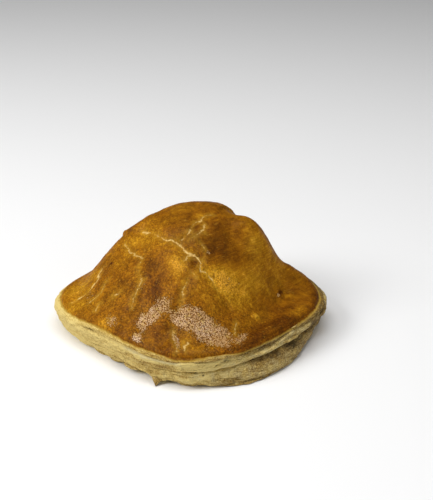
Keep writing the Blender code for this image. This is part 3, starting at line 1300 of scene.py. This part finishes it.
    def carve(self, places: Array, edge: Array) -> tuple[Array, Array]:
        """The crust's relief, and its cracks.

        Args:
            places: places on the smooth crust.
            edge: their distances inside the edge.

        Returns:
            How far each place moves outwards, and its distance from the torn middle of a crack.
        """
        bent = self.sway(places, self.bend_seed)
        relief = sum(share * layered_noise(places, cell, seed) for cell, share, seed in self.lumps)
        relief += together(self.bumps, places[:, 0], places[:, 1]) + together(self.ledges, *bent)
        for crease in self.creases:
            relief -= crease.groove(crease.distance(*bent))
        relief *= ease(edge / self.relief_fade)
        jagged = self.sway(places, self.jag_seed)
        crack = np.full(len(places), self.far_from_cracks)
        for line in self.cracks:
            away = line.distance(*jagged)
            relief -= line.groove(away, self.least_crack_width)
            crack = np.minimum(crack, away - line.width)
        return relief, crack + self.crack_swell * noise(places, self.swell_cell, self.swell_seed)

    def build(self) -> Piece:
        """The crust as one closed piece.

        Returns:
            The finished piece.
        """
        piece = Sculpt.grid("crust", self.grid_points, self.grid_points)
        direction, level = self.spread(Sculpt.points(piece))
        reach, height, edge = (self.read(table, direction, level) for table in self.profiles())
        places = around(direction, reach, height)
        Sculpt.move(piece, places)
        relief, crack = self.carve(places, edge)
        Sculpt.move(piece, places + Sculpt.normals(piece) * relief[:, None])
        x, y = places[:, 0], places[:, 1]
        bare = round_the_pie(self.bare_inside, direction) - edge
        bare /= round_the_pie(self.bare_fade, direction)
        rim = round_the_pie(self.rim_bake, direction) * ease((self.rim_width - edge) / self.rim_width)
        Sculpt.write(
            piece,
            crack=crack,
            bare=bare + together(self.bared, x, y),
            toast=round_the_pie(self.rim_toast, direction),
            ash=round_the_pie(self.rim_ash, direction),
            bake=self.base_bake + together(self.browning_and_painted_light, x, y) + rim,
            gloss=together(self.glossy, x, y),
            brushed=np.minimum(1.0, together(self.brushed, x, y)),
        )
        Sculpt.close_edges(piece)
        Sculpt.finish(piece, self.finish.material(), self.form)
        return piece


# ---- The cut sides ----


class Sheet(Enum):
    """The two sheets of pastry."""

    UPPER = "upper_sheet"
    LOWER = "lower_sheet"


@dataclass(frozen=True)
class Mark:
    """A slit, a crest, a browned spot or a patch of painted light or shade on the cut side, long round the pie.
    """

    direction: float
    height: float
    half_length: float
    half_height: float
    depth: float = 0.0
    toast: float = 0.0
    gap: float = 0.0
    climb: float = 0.0
    ash: float = 0.0

    def at(self, direction: Array, reach: Array, height: Array) -> Array:
        """How much of the mark there is at places of the side, from 0 to 1.

        Args:
            direction: angles round the pie, in radians.
            reach: their distances from the axis.
            height: their heights.

        Returns:
            The mark's share at each place.
        """
        along = arc_from(self.direction, direction, reach)
        across = (height - self.height - self.climb * along) / self.half_height
        return np.exp(-((along / self.half_length) ** 4) - across**2)


@dataclass(frozen=True)
class Lift:
    """A stretch of the foot that stands off the table."""

    direction: float
    half_length: float
    rise: float

    def at(self, direction: Array, reach: Array) -> Array:
        """How far the foot is lifted at places of the side."""
        return self.rise * np.exp(-((arc_from(self.direction, direction, reach) / self.half_length) ** 4))


@dataclass(frozen=True)
class CutSide:
    """The flaky cut side of one sheet all round the pie, closed above and below."""

    form: PieForm
    sheet: Sheet
    swing: Row
    # Browning round the pie, and with it painted shade: darker at the right and back-right, which face away from
    # the key lamp, and paler at the lit left and front.
    toast: Row
    openness: Row
    groove: Row
    marks: tuple[Mark, ...]
    lifts: tuple[Lift, ...]
    cover: Row
    seed: int
    finish: CutPastryFinish = field(default_factory=CutPastryFinish)
    columns: int = 1300
    rows: int = 61
    top_share: float = 0.97
    stretch: Colour = (0.16, 0.16, 1.0)
    # The slow and the quick waves that bend the layers: a cell and a height.
    bends: tuple[Span, Span] = ((14.0, 1.6), (4.0, 0.3))
    layer_cells: Span = (2.8, 1.3)
    layer_shares: Span = (0.7, 0.3)
    layer_crispness: float = 3.0
    opening_cell: float = 9.0
    opening_share: float = 0.8
    opening_softness: float = 0.5
    slit_widths: Span = (0.09, 0.12)
    gap_depth: float = 0.9
    fine_slit_depth: float = 0.3
    rough: Row = (0.4, 0.45, 0.4, 0.4, 0.5, 0.7, 0.8, 0.8)
    lump_stretch: Colour = (0.5, 0.5, 1.0)
    lump_cell: float = 2.4
    lump_octaves: int = 4
    toast_cell: float = 5.0
    # How much the ridges, a noise and the lumps add to the browning: ridges and lumps that stand out come out
    # paler and hollows darker, a painted highlight and painted shade; the noise is random browning.
    toast_shares: Row = (-0.22, 0.22, -0.25)
    # How much painted shade darkens the slits, the fine slits and the pits.
    gap_shade_shares: Row = (0.8, 0.35, 0.6)
    seam_shade: float = 0.8
    pit_depth: float = 0.55
    pit_softness: float = 0.4
    # Greyness round the pie: greyer at the right and back, which face away from the key lamp, and warm at the
    # lit left; partly the pastry's own tone, partly painted shade.
    ash: Row = (0.6, 0.6, 0.4, 0.3, 0.1, -0.4, -0.5, 0.2)
    seam_sharpness: float = 6.0
    relief_fade: float = 0.08
    lip_share: float = 0.76
    lip_softness: float = 0.1
    lip_depth: float = 0.6
    lift_power: float = 1.5

    def layers(self, places: Array, direction: Array) -> tuple[Array, ...]:
        """The layers' ridges, slits and crumbs.

        Args:
            places: places on the smooth side.
            direction: their angles round the pie.

        Returns:
            The relief in millimetres, the browning with painted highlight on what stands out and painted shade
            in the hollows, and how much painted shade each gap gets.
        """
        (slow_cell, slow), (quick_cell, quick) = self.bends
        bend = slow * noise(places * LEVEL, slow_cell, self.seed)
        bend = bend + quick * noise(places, quick_cell, self.seed + 1)
        flat = places * self.stretch + bend[:, None] * UPRIGHT
        cells = enumerate(self.layer_cells, self.seed + 2)
        broad, narrow = (noise(flat, cell, seed) for seed, cell in cells)
        opened = self.opening_share * noise(places, self.opening_cell, self.seed + 4)
        opened = opened + round_the_pie(self.openness, direction) + self.opening_softness / 2
        opened = ease(opened / self.opening_softness)
        slit, fine_slit = (
            opened * np.exp(-((layer / width) ** 2))
            for layer, width in zip((broad, narrow), self.slit_widths)
        )
        swing = round_the_pie(self.swing, direction)
        ridge = np.tanh(self.layer_crispness * broad)
        relief = swing * (self.layer_shares[0] * ridge + self.layer_shares[1] * narrow)
        relief -= self.gap_depth * (slit + self.fine_slit_depth * fine_slit)
        squeezed = places * self.lump_stretch
        lumps = layered_noise(squeezed, self.lump_cell, self.seed + 5, self.lump_octaves)
        relief += round_the_pie(self.rough, direction) * lumps
        # Ridges and lumps that stand out are made paler and hollows darker: painted highlight and painted shade.
        browning = (swing * ridge, noise(squeezed, self.toast_cell, self.seed + 9), lumps)
        toast = round_the_pie(self.toast, direction)
        toast = toast + sum(share * part for share, part in zip(self.toast_shares, browning))
        pit = ease((-lumps - self.pit_depth) / self.pit_softness)
        # Painted shade in the slits, the fine slits and the pits.
        gap = sum(share * part for share, part in zip(self.gap_shade_shares, (slit, fine_slit, pit)))
        return relief, toast, gap

    def build(self) -> Piece:
        """The sheet as one closed piece.

        Returns:
            The finished piece.
        """
        upper = self.sheet is Sheet.UPPER
        piece = Sculpt.grid(self.sheet.value, self.columns + 1, self.rows)
        square = Sculpt.points(piece)
        direction = (square[:, 0] + 1) * math.pi
        share = (square[:, 1] + 1) / 2 * (self.top_share if upper else 1.0)
        reach, height = self.form.wall(direction, share, upper)
        relief, toast, gap = self.layers(around(direction, reach, height), direction)
        ash = round_the_pie(self.ash, direction)
        for mark in self.marks:
            strength = mark.at(direction, reach, height)
            relief -= mark.depth * strength
            toast += mark.toast * strength
            gap += mark.gap * strength
            ash += mark.ash * strength
        groove = round_the_pie(self.groove, direction)
        seam = np.exp(-(((share if upper else 1 - share) * self.seam_sharpness) ** 2))
        relief -= groove * seam
        # Painted shade in the seam's groove between the two sheets.
        gap += self.seam_shade * seam * ease(groove)
        reach += relief * ease((1 - share if upper else share) / self.relief_fade)
        reach += round_the_pie(self.cover, direction)
        if upper:
            reach -= self.lip_depth * ease((share - self.lip_share) / self.lip_softness)
        for lift in self.lifts:
            height += lift.at(direction, reach) * (1 - share) ** self.lift_power
        Sculpt.move(piece, around(direction, reach, height))
        Sculpt.write(piece, toast=toast, gap=gap, ash=ash)
        Sculpt.sew(piece)
        Sculpt.close_edges(piece)
        Sculpt.finish(piece, self.finish.material(), self.form)
        return piece


@dataclass(frozen=True)
class UpperSide(CutSide):
    """The upper sheet's cut side: a smooth roll on the left, ridged layers on the right."""

    sheet: Sheet = Sheet.UPPER
    swing: Row = (0.7, 0.9, 0.8, 0.8, 0.6, 0.3, 0.3, 0.5)
    # Darker at the right, paler at the lit left and front: partly browning, partly painted shade.
    toast: Row = (0.46, 0.80, 0.40, 0.40, 0.30, 0.00, 0.04, -0.14)
    openness: Row = (0.1, 0.35, 0.35, 0.35, 0.1, -0.6, -0.6, -0.1)
    groove: Row = (0.6, 0.3, 0.5, 0.5, 0.3, 0.0, 0.0, 0.0)
    cover: Row = (-0.6, -0.4, -0.3, -0.3, -0.1, 0.2, 0.2, -0.3)
    seed: int = 61
    lifts: tuple[Lift, ...] = ()
    marks: tuple[Mark, ...] = (
        Mark(259.5, 13.4, 3.6, 0.35, 1, gap=0.8),
        Mark(266, 11.5, 1.4, 0.3, 0.8, gap=0.7),
        Mark(249, 11.2, 1.4, 0.3, 0.8, gap=0.7),
        Mark(296, 13.9, 17, 1, -0.4, toast=-0.78, ash=1.2),
        Mark(296, 10.4, 15, 1.7, toast=0.6, ash=-1.6),
        Mark(308, 15.6, 9, 0.6, 0.2, toast=0.25, ash=0.6),
        Mark(314, 13.2, 5, 1.3, -0.7, toast=-0.52, gap=-0.5),
        Mark(319, 10, 4, 1.2, -0.6, toast=-0.4),
        Mark(320, 13.2, 7, 2, 0, toast=-0.15, ash=-1.2),
        Mark(350, 12.3, 8, 0.5, -0.8, toast=-0.35),
        # Lightens the band just under the crust's lip, where the lip casts its shadow: painted light.
        Mark(338, 16, 6, 0.8, toast=-0.35, gap=-0.4),
        Mark(326.5, 13.2, 4, 1.5, -0.5, toast=-0.65, gap=-0.8, ash=-0.6),
        # A pale highlight on a crest at the right, with the slit's painted shade taken out there: painted
        # highlight.
        Mark(354.5, 11, 6, 1.1, -0.5, toast=-0.45, gap=-0.7),
        Mark(3, 14.1, 7, 0.6, -0.7, toast=-0.18, climb=0.14),
        Mark(343, 14.2, 13, 0.28, 0.8, gap=0.5, climb=-0.03),
        Mark(3, 15, 6, 0.25, 0.6, gap=0.6, climb=0.14),
    )


@dataclass(frozen=True)
class LowerSide(CutSide):
    """The lower sheet's cut side: fine flaky lines on the left, one mottled band on the right."""

    sheet: Sheet = Sheet.LOWER
    swing: Row = (0.35, 0.6, 0.8, 0.8, 0.6, 0.4, 0.4, 0.5)
    # Darker at the right, paler at the lit left: partly browning, partly painted shade.
    toast: Row = (0.54, 0.68, 0.40, 0.40, 0.20, -0.50, -0.10, 0.08)
    openness: Row = (-0.5, 0.0, 0.35, 0.35, 0.2, 0.0, -0.1, -0.4)
    groove: Row = (0.6, 0.3, 0.5, 0.5, 0.3, 0.0, 0.0, 0.0)
    cover: Row = (-0.3, -0.3, -0.3, -0.3, -0.1, 0.0, 0.0, -0.1)
    seed: int = 61
    lifts: tuple[Lift, ...] = (
        Lift(283, 8, 2.2),
        Lift(293.5, 4.5, 2.2),
        Lift(308, 3.6, 1.7),
        Lift(321, 3, 0.8),
    )
    marks: tuple[Mark, ...] = (
        Mark(252, 7, 1.2, 0.3, 0.8, gap=0.7),
        Mark(264, 1.4, 9, 0.9, 0.2, toast=0.4, ash=-0.9),
        Mark(281, 3.4, 9, 1, 0.2, toast=0.45, ash=-1.2),
        Mark(294, 4.6, 7, 0.9, 0.2, toast=0.4, ash=-1.2),
        Mark(311.5, 6.7, 5.5, 0.5, 0.3, toast=0.5, climb=-0.07),
        Mark(318.5, 8.2, 0.7, 0.35, 0.8, gap=0.8),
        Mark(321.5, 7.2, 0.7, 0.35, 0.8, gap=0.8),
        Mark(327.5, 4.3, 0.8, 0.3, 0.7, gap=0.8),
        # A broad darker band under the upper sheet's crest, over a shallow hollow: painted shade.
        Mark(358, 8.2, 14, 1.5, 0.6, toast=0.55),
        Mark(333, 4, 8.5, 0.35, 0.5, gap=0.5, climb=-0.21),
        Mark(350, 1.7, 20, 0.28, 0.6, gap=0.5),
    )


@dataclass(frozen=True)
class Flake:
    """A thin leaf of pastry that stands out of the cut side."""

    direction: float
    height: float
    half_length: float
    out: float
    thickness: float
    droop: float
    pointed: float = 0.6
    toast: float = 0.3


@dataclass(frozen=True)
class Flakes:
    """Loose leaves on the cut sides, and the drip of dough that baked fast to the foot."""

    form: PieForm
    finish: CutPastryFinish = field(default_factory=CutPastryFinish)
    flakes: tuple[Flake, ...] = (
        Flake(301.2, 2.6, 3.6, 4.4, 3, 1.4, 1.8, 0.4),
        Flake(263, 0.6, 7, 0.9, 0.9, 0.1, 0.9, 0.1),
        Flake(273, 0.8, 5, 1.2, 1, 0.2, 1.1, 0.2),
        Flake(286, 2.8, 6, 0.9, 0.9, 0.2, 0.8, 0.2),
        Flake(277, 3.6, 6, 0.6, 0.7, 0.2, 0.9, 0.05),
        Flake(258, 4.8, 7, 0.6, 0.7, 0.1, 0.9, 0),
        Flake(352, 12.4, 9, 1.2, 0.8, 0.4, toast=0.1),
        Flake(7, 12, 7, 1.2, 0.8, 0.4, toast=0.2),
        Flake(340, 0.7, 16, 1, 0.9, 0.1, toast=0.4),
        Flake(10, 16.4, 3.5, 0.6, 0.6, -0.2, toast=0.3),
    )
    columns: int = 65
    rows: int = 17
    root: float = 1.2
    bluntness: float = 1.6
    # The waves of its edge and of its face: a cell, a share and a seed.
    edge_waves: tuple[float, float, int] = (3.0, 0.35, 101)
    face_waves: tuple[float, float, int] = (4.0, 0.35, 121)
    edge_toast: float = 0.2
    ash: float = 0.3

    def build(self) -> Piece:
        """All the flakes as one piece.

        Returns:
            The finished piece.
        """
        leaves = [self.leaf(flake, index) for index, flake in enumerate(self.flakes)]
        bpy.ops.object.select_all(action="DESELECT")
        for leaf in leaves:
            leaf.select_set(True)
        bpy.context.view_layer.objects.active = leaves[0]
        bpy.ops.object.join()
        piece = bpy.context.object
        piece.name = "flakes"
        piece.data.name = "flakes"
        Sculpt.finish(piece, self.finish.material(), self.form)
        return piece

    def leaf(self, flake: Flake, seed: int) -> Piece:
        """One closed leaf, thin at its edges and rooted in the side.

        Args:
            flake: its place and sizes.
            seed: which pattern of waves it has.

        Returns:
            The leaf, not yet finished.
        """
        piece = Sculpt.grid(f"leaf_{seed}", self.columns, self.rows)
        square = Sculpt.points(piece)
        middle = math.radians(flake.direction)
        centre_reach = self.form.side(np.array([middle]), flake.height)[0]
        direction = middle + square[:, 0] * flake.half_length / centre_reach
        turn = math.pi * square[:, 1]
        outward = 0.5 + 0.5 * np.cos(turn)
        row = square * (flake.half_length, 0.0, 0.0)
        waves = (self.edge_waves, self.face_waves)
        edge, face = (share * noise(row, cell, first + seed) for cell, share, first in waves)
        taper = np.clip(1 - np.abs(square[:, 0]) ** (self.bluntness / flake.pointed), 0.0, 1.0)
        out = flake.out * (1 + edge)
        reach = self.form.side(direction, flake.height) + (self.root + out) * taper * outward - self.root
        height = flake.height + 0.5 * flake.thickness * taper * np.sin(turn)
        height += (face - flake.droop * outward) * taper
        Sculpt.move(piece, around(direction, reach, np.maximum(height, 0.0)))
        Sculpt.write(piece, toast=flake.toast + self.edge_toast * outward, gap=0.0, ash=self.ash)
        Sculpt.sew(piece)
        return piece


# ---- The studio ----


@dataclass(frozen=True)
class Lamp:
    """A soft rectangular light aimed at the pie. Its place is seen from the camera's side."""

    name: str
    right: float
    toward: float
    up: float
    width: float
    depth: float
    power: float


@dataclass(frozen=True)
class Studio:
    """A pale floor, soft light and the camera that sees the pie corner-on from above."""

    form: PieForm
    azimuth: float = 45.0
    elevation: float = 27.0
    distance: float = 0.513
    frame_right: float = 0.01308
    frame_up: float = 0.0349
    lens: float = 72.0
    aim_height: float = 0.02
    floor_size: float = 4.0
    floor: FloorFinish = field(default_factory=FloorFinish)
    world_strength: float = 0.12
    # A lamp that stands off by less than this share of its height shines straight down.
    overhead_slope: float = 0.3
    lamps: tuple[Lamp, ...] = (
        Lamp("overhead_softbox", -0.05, 0.08, 0.9, 0.9, 0.35, 5.6),
        Lamp("left_key", -0.8, 0.3, 0.7, 0.5, 0.5, 8),
        Lamp("right_fill", 0.75, 0.45, 0.45, 0.5, 0.5, 1),
    )

    def axes(self) -> tuple[Vector, Vector, Vector]:
        """The camera's right, its level direction towards itself, and up."""
        turn = math.radians(self.azimuth)
        right = Vector((math.cos(turn), math.sin(turn), 0.0))
        toward = Vector((math.sin(turn), -math.cos(turn), 0.0))
        return right, toward, Vector(UPRIGHT)

    def build(self) -> None:
        """Camera, floor, lamps, world and the way the picture's tones are shown."""
        self.add_camera()
        self.add_floor()
        for lamp in self.lamps:
            self.add_lamp(lamp)
        world = bpy.data.worlds.new("studio")
        world.use_nodes = True
        background = world.node_tree.nodes["Background"]
        background.inputs["Color"].default_value = WHITE
        background.inputs["Strength"].default_value = self.world_strength
        bpy.context.scene.world = world
        bpy.context.scene.view_settings.view_transform = "Standard"

    def add_camera(self) -> None:
        """The camera, at the photograph's angle and distance."""
        right, toward, up = self.axes()
        tilt = math.radians(self.elevation)
        back = toward * math.cos(tilt) + up * math.sin(tilt)
        head = up * math.cos(tilt) - toward * math.sin(tilt)
        data = bpy.data.cameras.new("camera")
        data.lens = self.lens
        camera = bpy.data.objects.new("camera", data)
        camera.location = (
            self.form.foot() + right * self.frame_right + head * self.frame_up + back * self.distance
        )
        camera.rotation_euler = Euler((math.pi / 2 - tilt, 0.0, math.radians(self.azimuth)))
        bpy.context.scene.collection.objects.link(camera)
        bpy.context.scene.camera = camera

    def add_floor(self) -> None:
        """A wide floor, far larger than the view."""
        bpy.ops.object.select_all(action="DESELECT")
        bpy.ops.mesh.primitive_plane_add(size=self.floor_size, location=(0.0, 0.0, CAD_BOX[0].z))
        floor = bpy.context.object
        floor.name = "floor"
        bpy.ops.object.transform_apply(location=True)
        floor.data.materials.append(self.floor.material())
        floor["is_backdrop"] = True

    def add_lamp(self, lamp: Lamp) -> None:
        """One soft rectangular light."""
        right, toward, up = self.axes()
        data = bpy.data.lights.new(lamp.name, "AREA")
        data.shape = "RECTANGLE"
        data.size = lamp.width
        data.size_y = lamp.depth
        data.energy = lamp.power
        light = bpy.data.objects.new(lamp.name, data)
        offset = right * lamp.right + toward * lamp.toward + up * lamp.up
        light.location = self.form.foot() + offset
        aim = Vector((0.0, 0.0, self.aim_height)) - offset
        if math.hypot(aim.x, aim.y) < self.overhead_slope * abs(aim.z):
            light.rotation_euler = Euler((0.0, 0.0, math.radians(self.azimuth)))
        else:
            light.rotation_euler = aim.to_track_quat("-Z", "Y").to_euler()
        bpy.context.scene.collection.objects.link(light)


# ---- Putting it together ----


def write_sizes() -> None:
    """Write the CAD model's box and the visual model's box."""
    boxes = {"cad": [list(corner) for corner in CAD_BOX], "visual": [list(corner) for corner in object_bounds()]}
    for side, axis in enumerate("xyz"):
        cad, visual = ((box[1][side] - box[0][side]) / MILLIMETRE for box in boxes.values())
        LOG.info("%s: %.1f mm in the frame, %.1f mm shown", axis, cad, visual)


def main() -> None:
    """Build the pie's pieces and the studio, in order."""
    logging.basicConfig(level=logging.INFO, format="%(name)s: %(message)s")
    form = PieForm()
    Studio(form).build()
    Crust(form).build()
    UpperSide(form).build()
    LowerSide(form).build()
    Flakes(form).build()
    write_sizes()


if __name__ == "__main__":
    main()
